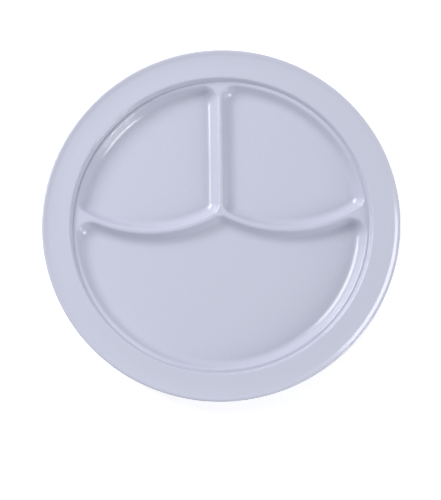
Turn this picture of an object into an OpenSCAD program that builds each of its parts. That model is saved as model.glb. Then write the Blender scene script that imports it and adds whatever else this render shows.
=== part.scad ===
// Divided dinner plate with three compartments, one compression-moulded piece.
// Millimetres, +Z up. The origin is the middle of the plate on the plane that
// its foot beads stand on. The two small compartments lie towards +Y.

/* [Plate] */
// Outside diameter of the rim
plate_dia = 260; // [240:1:290]
// Thickness of the moulded wall, the same everywhere
wall = 3; // [2.4:0.1:3.6]

/* [Rim] */
// Width of the rim, from its outside edge to the top edge of the step
rim_w = 20.4; // [18:0.1:26]
// Width of the slightly dished stretch of the rim
dish_w = 9; // [4:0.5:11.5]
// Angle through which the dished stretch turns up
dish_angle = 9.5; // [1:0.5:14]
// Radius of the curve that turns the outside of the rim up
roll_r = 10; // [7:0.5:18]
// Steepest angle that the rim turns up to, near its edge
roll_angle = 25; // [10:1:36]
// Radius over which the turned-up rim levels out again at its edge
lip_r = 4.4; // [3.8:0.1:8]
// Rounding of both corners of the outside edge
edge_round = 1; // [0.4:0.1:1.1]
// Height of the rim above the land round the compartments
step_h = 4.1; // [1.8:0.1:4.6]
// Width in plan of the sloping face of the step, before it is rounded
step_run = 1.9; // [1.4:0.05:3]
// Rounding of the top edge of the step
step_round = 2; // [0.6:0.1:2.2]
// Fillet at the foot of the step
step_fillet = 0.3; // [0.3:0.1:1]
// Rounding inside the corner under the rim
under_round = 1; // [0.5:0.1:2]

/* [Compartments] */
// Depth of the compartments below the land
depth = 7.3; // [6.6:0.1:14]
// Width of the land between the step and the compartments
land_w = 2.4; // [2.2:0.1:6]
// Width in plan of the sloping wall of a compartment
wall_run = 5; // [3.8:0.1:6.5]
// Rounding of the top edge of the compartments
top_round = 2.4; // [0.5:0.1:2.6]
// Fillet between the wall and the floor of a compartment
floor_fillet = 7.5; // [3:0.1:8]
// Corner radius of a small compartment at the land, next to the rim
corner_rim = 10; // [8:0.5:16]
// Corner radius of a small compartment at the land, next to the centre
corner_hub = 10; // [8:0.5:14]
// Corner radius of a small compartment at the land, at its outer end
corner_end = 7.8; // [5:0.1:14]
// Corner radius of the large compartment at the land
corner_large = 11; // [8:0.5:16]
// Corner radius of every compartment at its floor
corner_floor = 3.5; // [1:0.1:4.5]

/* [Dividers] */
// Width of the top of a divider between its two sharp edges
ridge_w = 2.9; // [2.4:0.1:3.4]
// Radius of the curved dividers, along the middle of their tops
bow_r = 98; // [85:0.5:115]
// Distance of the lowest point of each curved divider from the middle line
bow_x = 50; // [42:0.2:58]
// Distance from the plate's middle to where the three dividers meet
hub_y = 10.9; // [2:0.1:20]
// Corner radius of the large compartment at the land, where the dividers meet
hub_round = 8; // [4:0.5:12]

/* [Foot] */
// Height of the foot bead under each compartment
foot_h = 1.4; // [0.8:0.1:3]
// Width of the flat of the foot bead
foot_w = 2.4; // [1.6:0.1:4]
// Width in plan of each sloping side of the foot bead
foot_side = 0.6; // [0.3:0.1:1]
// Distance from the foot of the wall to the middle of the foot bead
foot_inset = 4.5; // [3.5:0.1:9]

/* [Hidden] */
plate_colour = "#c8cbdc";

// Overlap of the regions that make up the one moulding
lap = 0.4;

// Counts of straight steps along the round stretches
round_steps = 4;
dish_steps = 2;
roll_steps = 5;
lip_steps = 3;
fillet_steps = 4;
edge_steps = 4;
corner_steps = 6;
hub_steps = 3;
bow_steps = 8;
arc_steps = 12;
large_arc_steps = 28;
rim_steps = 144;

// Levels above the table
floor_z = foot_h + wall;
land_z = floor_z + depth;
rim_z = land_z + step_h;

// Radii about the plate's middle
rim_r = plate_dia / 2;
step_top_r = rim_r - rim_w;
step_foot_r = step_top_r - step_run;
cell_r = step_foot_r - land_w;

// The wall of a compartment in section
slope = atan2(depth, wall_run);
slope_reach = tan(slope / 2);
top_reach = top_round * slope_reach;
foot_of_wall = wall_run + floor_fillet * slope_reach;
ridge_half = ridge_w / 2;
lip = ridge_half + lap;
bead_at = foot_of_wall + foot_inset;
bead_top_half = foot_w / 2 + foot_side;
shell_end = bead_at + bead_top_half + lap;
origin = [0, 0];
bow_centre = [bow_x, hub_y + sqrt(bow_r * bow_r - bow_x * bow_x)];

function unit(v) = v / norm(v);
function heading(from, to) = atan2(to.y - from.y, to.x - from.x);
function polar(r, a) = r * [cos(a), sin(a)];

// Arc without its last point, so that the next stretch can start there
function arc_run(c, r, from, to, steps) =
    [for (i = [0 : steps - 1]) c + polar(r, from + (to - from) * i / steps)];

// The corner at b of the line a to b to c, rounded to the radius r
function rounded(a, b, c, r, steps) =
    let (
        u = unit(a - b),
        v = unit(c - b),
        half = acos(u * v) / 2,
        middle = b + unit(u + v) * r / sin(half),
        start = b + u * r / tan(half) - middle,
        end = b + v * r / tan(half) - middle,
        turn = 180 - 2 * half
    )
    [for (i = [0 : steps]) middle + (start * sin(turn * (1 - i / steps)) + end * sin(turn * i / steps)) / sin(turn)];

// Point at distance p from the origin and q from c, on the right of the line from the origin to c
function meeting(p, c, q) =
    let (
        far = norm(c),
        along = (p * p - q * q + far * far) / (2 * far),
        aside = sqrt(p * p - along * along)
    )
    along * unit(c) + aside * unit([c.y, -c.x]);

// Corner radius of an outline that lies d outside the sharp top edge
function corner_at(top_r, d) = max(corner_floor, top_r + d * (top_r - corner_floor) / foot_of_wall);

// Outline of the right-hand small compartment, moved outwards by d
function small_outline(d) =
    let (
        outer = cell_r + d,
        side = ridge_half - d,
        bow = bow_r - ridge_half + d,
        rim_c = corner_at(corner_rim, d),
        hub_c = corner_at(corner_hub, d),
        end_c = corner_at(corner_end, d),
        rim_x = side + rim_c,
        hub_x = side + hub_c,
        at_rim = [rim_x, sqrt(pow(outer - rim_c, 2) - rim_x * rim_x)],
        at_hub = [hub_x, bow_centre.y - sqrt(pow(bow - hub_c, 2) - pow(hub_x - bow_x, 2))],
        at_end = meeting(outer - end_c, bow_centre, bow - end_c)
    )
    concat(
        arc_run(origin, outer, heading(origin, at_end), heading(origin, at_rim), arc_steps),
        arc_run(at_rim, rim_c, heading(origin, at_rim), 180, corner_steps),
        [[side, at_rim.y]],
        arc_run(at_hub, hub_c, 180, 360 + heading(bow_centre, at_hub), corner_steps),
        arc_run(bow_centre, bow, heading(bow_centre, at_hub), heading(bow_centre, at_end), bow_steps),
        arc_run(at_end, end_c, heading(bow_centre, at_end), heading(origin, at_end), corner_steps)
    );

// Right-hand upper edge of the large compartment, from its corner to the hub
function large_edge(d) =
    let (
        bow = bow_r + ridge_half - d,
        corner = corner_at(corner_large, d),
        hub = corner_at(hub_round, d),
        at_corner = meeting(cell_r + d - corner, bow_centre, bow + corner),
        at_hub = [0, bow_centre.y - sqrt(pow(bow + hub, 2) - bow_x * bow_x)],
        hub_turn = heading(at_hub, bow_centre)
    )
    concat(
        arc_run(at_corner, corner, heading(origin, at_corner), heading(at_corner, bow_centre), corner_steps),
        arc_run(bow_centre, bow, heading(bow_centre, at_corner), heading(bow_centre, at_hub), bow_steps),
        arc_run(at_hub, hub, hub_turn, 90, hub_steps)
    );

// Outline of the large compartment, moved outwards by d
function large_outline(d) =
    let (
        edge = large_edge(d),
        last = len(edge) - 1,
        start = heading(origin, edge[0])
    )
    concat(
        edge,
        [[0, edge[last].y + (edge[last].y - edge[last - 1].y) / 2]],
        [for (i = [last : -1 : 0]) [-edge[i].x, edge[i].y]],
        [for (i = [1 : large_arc_steps - 1])
            polar(cell_r + d, 180 - start + (180 + 2 * start) * i / large_arc_steps)]
    );

// Section through the wall, floor edge and foot bead: distance out from the top edge, and height
bead_in = -bead_at - bead_top_half;
bead_out = -bead_at + bead_top_half;
under_corner = [-wall_run + wall * slope_reach, foot_h];
lip_foot = [lip, foot_h + (lip - under_corner.x) * depth / wall_run];
shell_section = concat(
    [[lip, land_z]],
    rounded([lip, land_z], [0, land_z], [-wall_run, floor_z], top_round, round_steps),
    rounded([0, land_z], [-wall_run, floor_z], [-shell_end, floor_z], floor_fillet, fillet_steps),
    [[-shell_end, floor_z], [-shell_end, foot_h], [bead_in, foot_h]],
    [[bead_in + foot_side, 0], [bead_out - foot_side, 0], [bead_out, foot_h]],
    rounded([bead_out, foot_h], under_corner, lip_foot, floor_fillet + wall, fillet_steps),
    [lip_foot]
);

// Section through the rim, the step and the edge of the land: radius and height
ring_in_r = cell_r + ridge_half;
dish_turn = dish_angle - 90;
dish_r = dish_w / sin(dish_angle);
edge_turn = roll_angle - 90;
roll_x = rim_r - edge_round - (roll_r + lip_r) * sin(roll_angle);
dish_x = roll_x + roll_r * sin(dish_angle) - dish_w;
dish_centre = [dish_x, rim_z + dish_r];
roll_centre = dish_centre + polar(dish_r - roll_r, dish_turn);
lip_centre = roll_centre + polar(roll_r + lip_r, edge_turn);
lip_turn = edge_turn + 180;
edge_high = [lip_centre.x, lip_centre.y + lip_r - edge_round];
edge_low = [lip_centre.x, lip_centre.y + lip_r - wall + edge_round];
step_shift = wall * tan(atan2(step_h, step_run) / 2);
ring_in_top = [ring_in_r, land_z];
step_foot = [step_foot_r, land_z];
step_top = [step_top_r, rim_z];
dish_top = [dish_x, rim_z];
dish_under = [dish_x, rim_z - wall];
step_top_under = [step_top_r + step_shift, rim_z - wall];
step_foot_under = [step_foot_r + step_shift, land_z - wall];
ring_in_under = [ring_in_r, land_z - wall];
rim_section = concat(
    [ring_in_top],
    rounded(ring_in_top, step_foot, step_top, step_fillet, fillet_steps),
    rounded(step_foot, step_top, dish_top, step_round, round_steps),
    arc_run(dish_centre, dish_r, -90, dish_turn, dish_steps),
    arc_run(roll_centre, roll_r, dish_turn, edge_turn, roll_steps),
    arc_run(lip_centre, lip_r, lip_turn, 90, lip_steps),
    arc_run(edge_high, edge_round, 90, 0, edge_steps),
    [[rim_r, edge_high.y]],
    arc_run(edge_low, edge_round, 0, -90, edge_steps),
    arc_run(lip_centre, lip_r - wall, 90, lip_turn, lip_steps),
    arc_run(roll_centre, roll_r + wall, edge_turn, dish_turn, roll_steps),
    arc_run(dish_centre, dish_r + wall, dish_turn, -90, dish_steps),
    [dish_under],
    rounded(dish_under, step_top_under, step_foot_under, under_round, round_steps),
    rounded(step_top_under, step_foot_under, ring_in_under, step_fillet + wall, fillet_steps),
    [ring_in_under]
);

// Closed band through rings of equally many points, the last ring joined to the first
module band(rings) {
    count = len(rings);
    size = len(rings[0]);
    faces = [
        for (i = [0 : count - 1], j = [0 : size - 1])
            let (
                here = i * size,
                next = ((i + 1) % count) * size,
                k = (j + 1) % size
            )
            each [[here + j, next + j, next + k], [here + j, next + k, here + k]]
    ];
    polyhedron(points = [for (ring = rings) each ring], faces = faces);
}

module floor_sheet(outline) {
    translate([0, 0, foot_h])
        linear_extrude(height = wall)
            polygon(outline);
}

module small_compartment() {
    band([for (p = shell_section) [for (q = small_outline(p.x)) [q.x, q.y, p.y]]]);
    floor_sheet(small_outline(lap / 2 - shell_end));
}

module large_compartment() {
    band([for (p = shell_section) [for (q = large_outline(p.x)) [q.x, q.y, p.y]]]);
    floor_sheet(large_outline(lap / 2 - shell_end));
}

// The land between the compartments, with the tops of the dividers
module land() {
    hole = (top_reach + ridge_half) / 2;
    translate([0, 0, land_z - wall])
        linear_extrude(height = wall)
            difference() {
                circle(r = cell_r + ridge_half + 2 * lap, $fn = rim_steps);
                polygon(small_outline(hole));
                mirror([1, 0])
                    polygon(small_outline(hole));
                polygon(large_outline(hole));
            }
}

module rim() {
    rotate_extrude($fn = rim_steps)
        polygon(rim_section);
}

module plate() {
    color(plate_colour)
        union() {
            rim();
            land();
            small_compartment();
            mirror([1, 0, 0])
                small_compartment();
            large_compartment();
        }
}

plate();
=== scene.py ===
# Divided dinner plate with three compartments, pressed in pale lavender melamine
import math

import bmesh
import bpy
from mathutils import Matrix, Vector
from mathutils.geometry import tessellate_polygon


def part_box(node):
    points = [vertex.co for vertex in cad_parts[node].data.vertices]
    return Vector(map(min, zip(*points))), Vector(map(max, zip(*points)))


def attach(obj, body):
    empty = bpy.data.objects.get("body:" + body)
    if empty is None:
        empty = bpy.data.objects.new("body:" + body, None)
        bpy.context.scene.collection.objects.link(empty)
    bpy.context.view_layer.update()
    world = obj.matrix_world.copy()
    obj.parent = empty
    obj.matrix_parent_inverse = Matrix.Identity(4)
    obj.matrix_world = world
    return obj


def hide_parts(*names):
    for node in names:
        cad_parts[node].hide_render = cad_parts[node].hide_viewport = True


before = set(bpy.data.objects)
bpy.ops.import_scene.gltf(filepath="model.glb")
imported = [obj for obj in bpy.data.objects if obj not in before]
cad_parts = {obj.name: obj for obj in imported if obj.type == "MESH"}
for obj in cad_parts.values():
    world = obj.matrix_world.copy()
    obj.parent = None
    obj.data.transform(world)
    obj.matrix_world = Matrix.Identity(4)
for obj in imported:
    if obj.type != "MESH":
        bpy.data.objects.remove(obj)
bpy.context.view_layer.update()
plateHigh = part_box("plate")[1]
scene = bpy.context.scene
mm = 0.001
print("frame loaded")


# Small helpers for points, all in millimetres until a mesh is made

def heading(start, end):
    return math.atan2(end[1] - start[1], end[0] - start[0])


def onCircle(centre, radius, angle):
    return (centre[0] + radius * math.cos(angle), centre[1] + radius * math.sin(angle))


def arcRun(centre, radius, start, end, steps):
    # leaves out the last point, so that the next stretch can start there
    return [onCircle(centre, radius, start + (end - start) * i / steps) for i in range(steps)]


def roundedCorner(before, corner, after, radius, steps):
    b = Vector(corner)
    u = (Vector(before) - b).normalized()
    v = (Vector(after) - b).normalized()
    half = math.acos(max(-1.0, min(1.0, u.dot(v)))) / 2
    middle = b + (u + v).normalized() * radius / math.sin(half)
    start = b + u * radius / math.tan(half) - middle
    end = b + v * radius / math.tan(half) - middle
    turn = math.pi - 2 * half
    points = []
    for i in range(steps + 1):
        share = i / steps
        swung = start * math.sin(turn * (1 - share)) + end * math.sin(turn * share)
        p = middle + swung / math.sin(turn)
        points.append((p.x, p.y))
    return points


def meeting(reach, centre, otherReach):
    # the point this far from the plate's middle and from centre, right of the line between them
    far = math.hypot(*centre)
    along = (reach ** 2 - otherReach ** 2 + far ** 2) / (2 * far)
    aside = math.sqrt(reach ** 2 - along ** 2)
    ux, uy = centre[0] / far, centre[1] / far
    return (along * ux + aside * uy, along * uy - aside * ux)


def mirrored(outline):
    return [(-x, y) for x, y in reversed(outline)]


# The plate's shape, in millimetres and degrees

plateShape = {
    "radius": max(plateHigh.x, plateHigh.y) / mm,
    "wall": 3.0,
    "rimWidth": 20.4,  # from the outer edge to the step
    "dishWidth": 9.0,
    "dishAngle": 9.5,  # at which the upturn starts
    "rollRadius": 7.5,  # of the upturn
    "rollAngle": 21.3,  # of the flare, from level
    "flareWidth": 1.5,
    "lipRadius": 2.9,  # levels the flare out again
    "edgeRound": 1.0,
    "stepHeight": 4.1,  # from the land up to the rim
    "stepRun": 1.9,
    "stepRound": 2.0,
    "stepFillet": 0.3,
    "underRound": 1.0,  # of the step, on the plate's back
    "depth": 7.3,  # from the land down to the floors
    "landWidth": 2.4,  # from the step's foot to the compartments
    "wallRun": 5.0,  # from a wall's sharp top edge to its sharp foot
    "topRound": 2.4,
    "floorFillet": 7.5,
    "cornerRim": 10.0,  # the corners at the sharp top edges
    "cornerHub": 10.0,
    "cornerEnd": 7.8,
    "cornerLarge": 11.0,
    "cornerFloor": 3.5,  # every corner at the floor
    "ridgeWidth": 2.9,
    "bowRadius": 98.0,  # of the curved dividers along their middle
    "bowX": 50.0,
    "hubY": 10.9,  # where the middles of the curved dividers meet
    "hubRound": 8.0,
    "footHeight": 1.4,
    "footWidth": 2.4,
    "footSide": 0.6,  # run of the bead's sloping sides
    "footInset": 4.5,  # from the floor's fillet to the middle of the bead
    "beadRound": 0.5,
    "lap": 0.4,  # overlap of the forms that the union joins
}
smoothness = {  # straight steps along each round stretch
    "round": 10,
    "dish": 10,
    "upturn": 16,
    "lip": 10,
    "fillet": 14,
    "edge": 10,
    "bead": 5,
    "corner": 24,
    "hub": 14,
    "bow": 72,
    "side": 40,
    "arc": 100,
    "largeArc": 220,
    "rim": 540,
}

s = plateShape
origin = (0.0, 0.0)
floorZ = s["footHeight"] + s["wall"]
landZ = floorZ + s["depth"]
rimZ = landZ + s["stepHeight"]
stepTopR = s["radius"] - s["rimWidth"]
stepFootR = stepTopR - s["stepRun"]
cellR = stepFootR - s["landWidth"]
slopeReach = math.tan(math.atan2(s["depth"], s["wallRun"]) / 2)
footOfWall = s["wallRun"] + s["floorFillet"] * slopeReach
ridgeHalf = s["ridgeWidth"] / 2
lapReach = ridgeHalf + s["lap"]
beadAt = footOfWall + s["footInset"]
shellEnd = beadAt + s["footWidth"] / 2 + s["footSide"] + s["lap"]
bowCentre = (s["bowX"], s["hubY"] + math.sqrt(s["bowRadius"] ** 2 - s["bowX"] ** 2))


def cornerAt(topRadius, d):
    floorRadius = s["cornerFloor"]
    return max(floorRadius, topRadius + d * (topRadius - floorRadius) / footOfWall)


def smallOutline(d):
    # right-hand small compartment, moved outwards by d from its sharp top edge
    outer = cellR + d
    side = ridgeHalf - d
    bow = s["bowRadius"] - ridgeHalf + d
    rimC, hubC, endC = (cornerAt(s[name], d) for name in ("cornerRim", "cornerHub", "cornerEnd"))
    sideSteps = smoothness["side"]
    rimX, hubX = side + rimC, side + hubC
    atRim = (rimX, math.sqrt((outer - rimC) ** 2 - rimX ** 2))
    atHub = (hubX, bowCentre[1] - math.sqrt((bow - hubC) ** 2 - (hubX - s["bowX"]) ** 2))
    atEnd = meeting(outer - endC, bowCentre, bow - endC)
    rimTurn, hubTurn = heading(origin, atRim), heading(bowCentre, atHub)
    endTurn, bowEnd = heading(origin, atEnd), heading(bowCentre, atEnd)
    return (
        arcRun(origin, outer, endTurn, rimTurn, smoothness["arc"])
        + arcRun(atRim, rimC, rimTurn, math.pi, smoothness["corner"])
        + [(side, atRim[1] + (atHub[1] - atRim[1]) * i / sideSteps) for i in range(sideSteps)]
        + arcRun(atHub, hubC, math.pi, 2 * math.pi + hubTurn, smoothness["corner"])
        + arcRun(bowCentre, bow, hubTurn, bowEnd, smoothness["bow"])
        + arcRun(atEnd, endC, bowEnd, endTurn, smoothness["corner"])
    )


def largeOutline(d):
    # large compartment, moved outwards by d from its sharp top edge
    bow = s["bowRadius"] + ridgeHalf - d
    corner = cornerAt(s["cornerLarge"], d)
    atCorner = meeting(cellR + d - corner, bowCentre, bow + corner)
    hub = cornerAt(s["hubRound"], d)
    atHub = (0.0, bowCentre[1] - math.sqrt((bow + hub) ** 2 - s["bowX"] ** 2))
    cornerTurn = heading(origin, atCorner)
    bowStart, bowStop = heading(bowCentre, atCorner), heading(bowCentre, atHub)
    edge = (
        arcRun(atCorner, corner, cornerTurn, heading(atCorner, bowCentre), smoothness["corner"])
        + arcRun(bowCentre, bow, bowStart, bowStop, smoothness["bow"])
        + arcRun(atHub, hub, heading(atHub, bowCentre), math.pi / 2, smoothness["hub"])
    )
    top = (0.0, atHub[1] + hub)
    aroundEnds = math.pi - cornerTurn, 2 * math.pi + cornerTurn
    around = arcRun(origin, cellR + d, *aroundEnds, smoothness["largeArc"])
    return edge + [top] + mirrored(edge) + around[1:]


def shellSection():
    # wall, floor edge and foot bead: distance out from the sharp top edge, and height
    lapTop, topEdge = (lapReach, landZ), (0.0, landZ)
    floorEdge, floorEnd = (-s["wallRun"], floorZ), (-shellEnd, floorZ)
    underEdge = (-s["wallRun"] + s["wall"] * slopeReach, s["footHeight"])
    lapFoot = (lapReach, s["footHeight"] + (lapReach - underEdge[0]) * s["depth"] / s["wallRun"])
    underFillet = s["floorFillet"] + s["wall"]
    beadHalf = s["footWidth"] / 2 + s["footSide"]
    beadIn, beadOut = (-beadAt - beadHalf, s["footHeight"]), (-beadAt + beadHalf, s["footHeight"])
    beadLow, beadHigh = (beadIn[0] + s["footSide"], 0.0), (beadOut[0] - s["footSide"], 0.0)
    return (
        [lapTop]
        + roundedCorner(lapTop, topEdge, floorEdge, s["topRound"], smoothness["round"])
        + roundedCorner(topEdge, floorEdge, floorEnd, s["floorFillet"], smoothness["fillet"])
        + [floorEnd, (-shellEnd, s["footHeight"]), beadIn]
        + roundedCorner(beadIn, beadLow, beadHigh, s["beadRound"], smoothness["bead"])
        + roundedCorner(beadLow, beadHigh, beadOut, s["beadRound"], smoothness["bead"])
        + [beadOut]
        + roundedCorner(beadOut, underEdge, lapFoot, underFillet, smoothness["fillet"])
        + [lapFoot]
    )


def rimSection():
    # rim, step and the edge of the land: radius and height
    wall = s["wall"]
    inner = cellR + ridgeHalf
    down = -math.pi / 2
    edgeTurn = math.radians(s["rollAngle"]) + down
    dishTurn = math.radians(s["dishAngle"]) + down
    flareSlope = math.tan(math.radians(s["rollAngle"]))
    dishRadius = s["dishWidth"] / math.cos(dishTurn)
    flareX = s["radius"] - s["edgeRound"] - s["flareWidth"]
    rollX = flareX - (s["rollRadius"] + s["lipRadius"]) * math.cos(edgeTurn)
    dishX = rollX + s["rollRadius"] * math.cos(dishTurn) - s["dishWidth"]
    dishCentre = (dishX, rimZ + dishRadius)
    rollCentre = onCircle(dishCentre, dishRadius - s["rollRadius"], dishTurn)
    rollEnd = onCircle(rollCentre, s["rollRadius"], edgeTurn)
    flareEnd = (rollEnd[0] + s["flareWidth"], rollEnd[1] + s["flareWidth"] * flareSlope)
    lipCentre = onCircle(flareEnd, s["lipRadius"], edgeTurn)
    lipTurn = edgeTurn + math.pi
    edgeHigh = (lipCentre[0], lipCentre[1] + s["lipRadius"] - s["edgeRound"])
    edgeTop = (s["radius"], edgeHigh[1])
    flareUnder = onCircle(rollCentre, s["rollRadius"] + wall, edgeTurn)
    edgeFoot = (s["radius"], flareUnder[1] + (s["radius"] - flareUnder[0]) * flareSlope)
    shift = wall * math.tan(math.atan2(s["stepHeight"], s["stepRun"]) / 2)
    underRound, underFillet = s["underRound"], s["stepFillet"] + wall
    innerTop, innerUnder = (inner, landZ), (inner, landZ - wall)
    stepFoot, stepFootUnder = (stepFootR, landZ), (stepFootR + shift, landZ - wall)
    stepTop, stepTopUnder = (stepTopR, rimZ), (stepTopR + shift, rimZ - wall)
    dishTop, dishUnder = (dishX, rimZ), (dishX, rimZ - wall)
    return (
        [innerTop]
        + roundedCorner(innerTop, stepFoot, stepTop, s["stepFillet"], smoothness["fillet"])
        + roundedCorner(stepFoot, stepTop, dishTop, s["stepRound"], smoothness["round"])
        + arcRun(dishCentre, dishRadius, down, dishTurn, smoothness["dish"])
        + arcRun(rollCentre, s["rollRadius"], dishTurn, edgeTurn, smoothness["upturn"])
        + arcRun(lipCentre, s["lipRadius"], lipTurn, math.pi / 2, smoothness["lip"])
        + arcRun(edgeHigh, s["edgeRound"], math.pi / 2, 0.0, smoothness["edge"])
        + [edgeTop]
        + roundedCorner(edgeTop, edgeFoot, flareUnder, s["edgeRound"], smoothness["edge"])
        + arcRun(rollCentre, s["rollRadius"] + wall, edgeTurn, dishTurn, smoothness["upturn"])
        + arcRun(dishCentre, dishRadius + wall, dishTurn, down, smoothness["dish"])
        + [dishUnder]
        + roundedCorner(dishUnder, stepTopUnder, stepFootUnder, underRound, smoothness["round"])
        + roundedCorner(stepTopUnder, stepFootUnder, innerUnder, underFillet, smoothness["fillet"])
        + [innerUnder]
    )


def bandObject(name, rings):
    # closed band of faces through equally long rings, the last ring joined to the first
    count, size = len(rings), len(rings[0])
    points = [(x * mm, y * mm, z * mm) for ring in rings for x, y, z in ring]
    faces = []
    for i in range(count):
        here, following = i * size, (i + 1) % count * size
        for j in range(size):
            k = (j + 1) % size
            faces.append((here + j, here + k, following + k, following + j))
    mesh = bpy.data.meshes.new(name)
    mesh.from_pydata(points, [], faces)
    obj = bpy.data.objects.new(name, mesh)
    scene.collection.objects.link(obj)
    return obj


def sheetObject(name, outlines, low, high):
    # flat sheet between two heights, with the first outline as its edge and the others as holes
    loops = [[Vector((x * mm, y * mm, 0.0)) for x, y in outline] for outline in outlines]
    triangles = tessellate_polygon(loops)
    flat = [p for loop in loops for p in loop]
    size = len(flat)
    points = [(p.x, p.y, low * mm) for p in flat] + [(p.x, p.y, high * mm) for p in flat]
    faces = []
    for a, b, c in triangles:
        if (flat[b] - flat[a]).cross(flat[c] - flat[a]).z < 0:
            b, c = c, b
        faces.append((a, c, b))
        faces.append((a + size, b + size, c + size))
    start = 0
    for index, loop in enumerate(loops):
        for j in range(len(loop)):
            a, b = start + j, start + (j + 1) % len(loop)
            side = (a, b, b + size, a + size)
            faces.append(side if index == 0 else side[::-1])
        start += len(loop)
    mesh = bpy.data.meshes.new(name)
    mesh.from_pydata(points, [], faces)
    obj = bpy.data.objects.new(name, mesh)
    scene.collection.objects.link(obj)
    return obj


meshFinish = {
    "mergeGap": 0.002,  # mm
    "flatWithin": 0.02,  # degrees, faces that count as one flat
    "sharpFrom": 35.0,  # degrees
    "normalWeight": 60,
}


def tidyFaces(mesh):
    # the union leaves slivers, and cuts every flat into many triangles
    gap = meshFinish["mergeGap"] * mm
    work = bmesh.new()
    work.from_mesh(mesh)
    bmesh.ops.remove_doubles(work, verts=work.verts, dist=gap)
    bmesh.ops.dissolve_degenerate(work, dist=gap, edges=work.edges)
    flat = math.radians(meshFinish["flatWithin"])
    bmesh.ops.dissolve_limit(work, angle_limit=flat, verts=work.verts, edges=work.edges)
    openEdges = sum(1 for edge in work.edges if len(edge.link_faces) != 2)
    work.to_mesh(mesh)
    work.free()
    print("tidied:", len(mesh.polygons), "faces,", openEdges, "open edges")


def joinedMoulding(name, parts):
    base = parts[0]
    for part in parts[1:]:
        union = base.modifiers.new("union", "BOOLEAN")
        union.operation = "UNION"
        union.solver = "MANIFOLD"
        union.object = part
    evaluated = base.evaluated_get(bpy.context.evaluated_depsgraph_get())
    mesh = bpy.data.meshes.new_from_object(evaluated)
    for part in parts:
        bpy.data.objects.remove(part)
    tidyFaces(mesh)
    mesh.name = name
    obj = bpy.data.objects.new(name, mesh)
    scene.collection.objects.link(obj)
    return obj


def buildPlate():
    section = shellSection()
    around = [2 * math.pi * i / smoothness["rim"] for i in range(smoothness["rim"])]
    rimRings = [[onCircle(origin, r, a) + (z,) for a in around] for r, z in reversed(rimSection())]
    rim = bandObject("rim", rimRings)
    hole = (s["topRound"] * slopeReach + ridgeHalf) / 2
    landEdge = cellR + ridgeHalf + 2 * s["lap"]
    landDisc = [onCircle(origin, landEdge, a) for a in around]
    holes = [smallOutline(hole), mirrored(smallOutline(hole)), largeOutline(hole)]
    land = sheetObject("land", [landDisc] + holes, landZ - s["wall"], landZ)
    parts = [rim, land]
    floorReach = s["lap"] / 2 - shellEnd
    for outline in (smallOutline, lambda d: mirrored(smallOutline(d)), largeOutline):
        parts.append(bandObject("well", [[(x, y, z) for x, y in outline(d)] for d, z in section]))
        parts.append(sheetObject("floor", [outline(floorReach)], s["footHeight"], floorZ))
    return joinedMoulding("plateMoulding", parts)


plate = buildPlate()
for polygon in plate.data.polygons:
    polygon.use_smooth = True
plate.data.set_sharp_from_angle(angle=math.radians(meshFinish["sharpFrom"]))
weighted = plate.modifiers.new("weightedNormals", "WEIGHTED_NORMAL")
weighted.keep_sharp = True
weighted.weight = meshFinish["normalWeight"]
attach(plate, "root")
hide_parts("plate")
print("plate shaped:", len(plate.data.polygons), "faces")


# Material

def linear(hexColour):
    values = [int(hexColour[i:i + 2], 16) / 255 for i in (1, 3, 5)]
    rgb = [v / 12.92 if v <= 0.04045 else ((v + 0.055) / 1.055) ** 2.4 for v in values]
    return (*rgb, 1.0)


def addNode(tree, kind, settings=None, inputs=None, links=None):
    node = tree.nodes.new(kind)
    for key, value in (settings or {}).items():
        setattr(node, key, value)
    for key, value in (inputs or {}).items():
        node.inputs[key].default_value = value
    for key, source in (links or {}).items():
        tree.links.new(source, node.inputs[key])
    return node


melamine = {
    "colour": "#c8cbdc",
    "fibreColour": "#c3c6d8",
    "ior": 1.44,
    "roughness": 0.154,
    "fibreSize": 1.6,  # mm, cellulose filler
    "fibreDetail": 3.0,
    "waveSize": 22.0,  # mm, sink and flow over the hot mould
    "waveDetail": 1.0,
    "waveHeight": 0.4,  # mm
    "waveShare": 0.02,  # of that height
}


def melamineMoulding():
    # Melamine-formaldehyde resin, cellulose filled, compression moulded in a polished steel mould:
    # an even, slightly milky body under a hard clear skin, with narrow highlights on every fillet
    material = bpy.data.materials.new("melamineMoulding")
    material.use_nodes = True
    tree = material.node_tree
    shader = tree.nodes["Principled BSDF"]
    place = addNode(tree, "ShaderNodeTexCoord").outputs["Object"]
    fibreScale = {"Scale": 1 / (melamine["fibreSize"] * mm), "Detail": melamine["fibreDetail"]}
    fibre = addNode(tree, "ShaderNodeTexNoise", inputs=fibreScale, links={"Vector": place})
    body = addNode(tree, "ShaderNodeMix", {"data_type": "RGBA"}, links={0: fibre.outputs["Fac"]})
    body.inputs[6].default_value = linear(melamine["colour"])
    body.inputs[7].default_value = linear(melamine["fibreColour"])
    waveScale = {"Scale": 1 / (melamine["waveSize"] * mm), "Detail": melamine["waveDetail"]}
    wave = addNode(tree, "ShaderNodeTexNoise", inputs=waveScale, links={"Vector": place})
    relief = {"Strength": melamine["waveShare"], "Distance": melamine["waveHeight"] * mm}
    bump = addNode(tree, "ShaderNodeBump", inputs=relief, links={"Height": wave.outputs["Fac"]})
    tree.links.new(body.outputs[2], shader.inputs["Base Color"])
    tree.links.new(bump.outputs["Normal"], shader.inputs["Normal"])
    shader.inputs["IOR"].default_value = melamine["ior"]
    shader.inputs["Roughness"].default_value = melamine["roughness"]
    return material


plate.data.materials.clear()
plate.data.materials.append(melamineMoulding())
print("melamine made")


# Floor, lamps and camera

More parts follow.
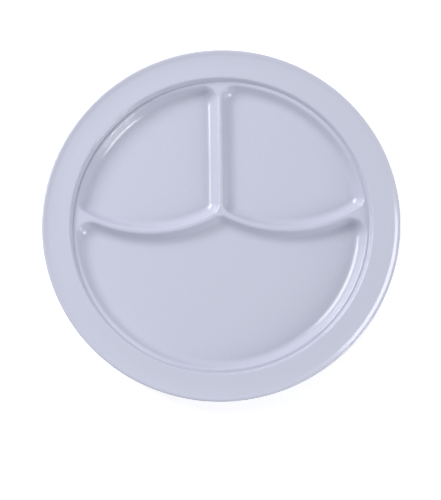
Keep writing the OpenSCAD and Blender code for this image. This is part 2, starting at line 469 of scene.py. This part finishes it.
stageSet = {
    "floorSize": 6.0,  # m
    "floorColour": "#f4f4f6",
    "floorRoughness": 0.9,
    "floorGlow": 0.54,  # seen by the camera and in the gloss, never lighting the plate
    "skyLevel": 0.427,
    "skyLean": (-0.059, 0.238, -0.099),
    "darkSides": (0.392, 0.186, 0.050),
}
lamps = {  # degrees, metres and watts
    "keySoftbox": {
        "azimuth": 142.8,
        "height": 39.6,
        "distance": 1.56,
        "wide": 0.787,
        "tall": 0.883,
        "power": 21.59,
    },
    "edgeSoftbox": {
        "azimuth": -35.7,
        "height": 19.9,
        "distance": 1.67,
        "wide": 0.636,
        "tall": 0.836,
        "power": 17.29,
    },
}
view = {
    "width": 441,
    "height": 500,
    "tilt": 11.68,
    "swing": 6.7,
    "roll": 0.67,
    "distance": 6.0,  # m
    "rimHalfWidth": 179.42,  # of the rim in the picture, in pixels
    "centreX": 221.05,
    "centreY": 225.3,
    "sensorHeight": 24.0,  # mm
    "clipEnd": 20.0,  # m
}


def fromPlate(azimuth, height, distance):
    a, h = math.radians(azimuth), math.radians(height)
    return Vector((math.cos(h) * math.cos(a), math.cos(h) * math.sin(a), math.sin(h))) * distance


def buildFloor():
    half = stageSet["floorSize"] / 2
    mesh = bpy.data.meshes.new("floor")
    corners = [(-half, -half, 0), (half, -half, 0), (half, half, 0), (-half, half, 0)]
    mesh.from_pydata(corners, [], [(0, 1, 2, 3)])
    floor = bpy.data.objects.new("floor", mesh)
    scene.collection.objects.link(floor)
    material = bpy.data.materials.new("whitePaper")
    material.use_nodes = True
    tree = material.node_tree
    shader = tree.nodes["Principled BSDF"]
    shader.inputs["Base Color"].default_value = linear(stageSet["floorColour"])
    shader.inputs["Roughness"].default_value = stageSet["floorRoughness"]
    path = addNode(tree, "ShaderNodeLightPath")
    white = {"Color": (1.0, 1.0, 1.0, 1.0), "Strength": stageSet["floorGlow"]}
    glow = addNode(tree, "ShaderNodeEmission", inputs=white)
    both = addNode(tree, "ShaderNodeAddShader", links={0: shader.outputs[0], 1: glow.outputs[0]})
    seenBy = {0: path.outputs["Is Camera Ray"], 1: path.outputs["Is Glossy Ray"]}
    seen = addNode(tree, "ShaderNodeMath", {"operation": "MAXIMUM"}, links=seenBy)
    choice = {0: seen.outputs[0], 1: shader.outputs[0], 2: both.outputs[0]}
    pick = addNode(tree, "ShaderNodeMixShader", links=choice)
    tree.links.new(pick.outputs[0], tree.nodes["Material Output"].inputs["Surface"])
    mesh.materials.append(material)


def buildLamp(name, lamp):
    data = bpy.data.lights.new(name, "AREA")
    data.shape = "RECTANGLE"
    data.size = lamp["wide"]
    data.size_y = lamp["tall"]
    data.energy = lamp["power"]
    obj = bpy.data.objects.new(name, data)
    scene.collection.objects.link(obj)
    obj.location = fromPlate(lamp["azimuth"], lamp["height"], lamp["distance"])
    obj.rotation_euler = (-obj.location).to_track_quat("-Z", "Y").to_euler()


def buildWorld():
    world = bpy.data.worlds.new("studio")
    scene.world = world
    world.use_nodes = True
    tree = world.node_tree
    background = tree.nodes["Background"]
    background.inputs["Color"].default_value = (1.0, 1.0, 1.0, 1.0)
    # the room is brighter on the side that skyLean points to, and darker along darkSides both ways
    direction = addNode(tree, "ShaderNodeTexCoord").outputs["Generated"]
    lean = addNode(tree, "ShaderNodeVectorMath", {"operation": "DOT_PRODUCT"},
                   {1: stageSet["skyLean"]}, {0: direction}).outputs["Value"]
    aside = addNode(tree, "ShaderNodeVectorMath", {"operation": "DOT_PRODUCT"},
                    {1: stageSet["darkSides"]}, {0: direction}).outputs["Value"]
    room = addNode(tree, "ShaderNodeMath", {"operation": "ADD"},
                   {1: stageSet["skyLevel"]}, {0: lean})
    dark = addNode(tree, "ShaderNodeMath", {"operation": "MULTIPLY"}, links={0: aside, 1: aside})
    less = addNode(tree, "ShaderNodeMath", {"operation": "SUBTRACT"},
                   links={0: room.outputs[0], 1: dark.outputs[0]})
    lit = addNode(tree, "ShaderNodeMath", {"operation": "MAXIMUM"}, {1: 0.0}, {0: less.outputs[0]})
    # the camera sees plain white behind the floor's edge
    path = addNode(tree, "ShaderNodeLightPath")
    level = addNode(tree, "ShaderNodeMapRange", inputs={"To Max": 1.0},
                    links={"Value": path.outputs["Is Camera Ray"], "To Min": lit.outputs[0]})
    tree.links.new(level.outputs[0], background.inputs["Strength"])


def buildCamera():
    data = bpy.data.cameras.new("camera")
    obj = bpy.data.objects.new("camera", data)
    scene.collection.objects.link(obj)
    tilt, swing, roll = (math.radians(view[name]) for name in ("tilt", "swing", "roll"))
    target = Vector((0, 0, rimZ * mm))
    lean = math.sin(tilt)
    back = Vector((lean * math.sin(swing), -lean * math.cos(swing), math.cos(tilt)))
    right = Vector((0, 1, 0)).cross(back).normalized()
    up = back.cross(right)
    turnedRight = right * math.cos(roll) - up * math.sin(roll)
    turnedUp = right * math.sin(roll) + up * math.cos(roll)
    facing = Matrix((turnedRight, turnedUp, back)).transposed().to_4x4()
    obj.matrix_world = Matrix.Translation(target + back * view["distance"]) @ facing
    pixel = view["sensorHeight"] / view["height"]
    data.sensor_fit = "VERTICAL"
    data.sensor_height = view["sensorHeight"]
    data.sensor_width = pixel * view["width"]
    data.lens = view["rimHalfWidth"] * pixel * view["distance"] / (s["radius"] * mm)
    data.shift_x = (view["width"] / 2 - view["centreX"]) / view["height"]
    data.shift_y = -(view["height"] / 2 - view["centreY"]) / view["height"]
    data.clip_end = view["clipEnd"]
    scene.camera = obj


buildFloor()
for lampName, lampSet in lamps.items():
    buildLamp(lampName, lampSet)
buildWorld()
buildCamera()
scene.view_settings.view_transform = "Standard"
print("stage, lamps and camera set")
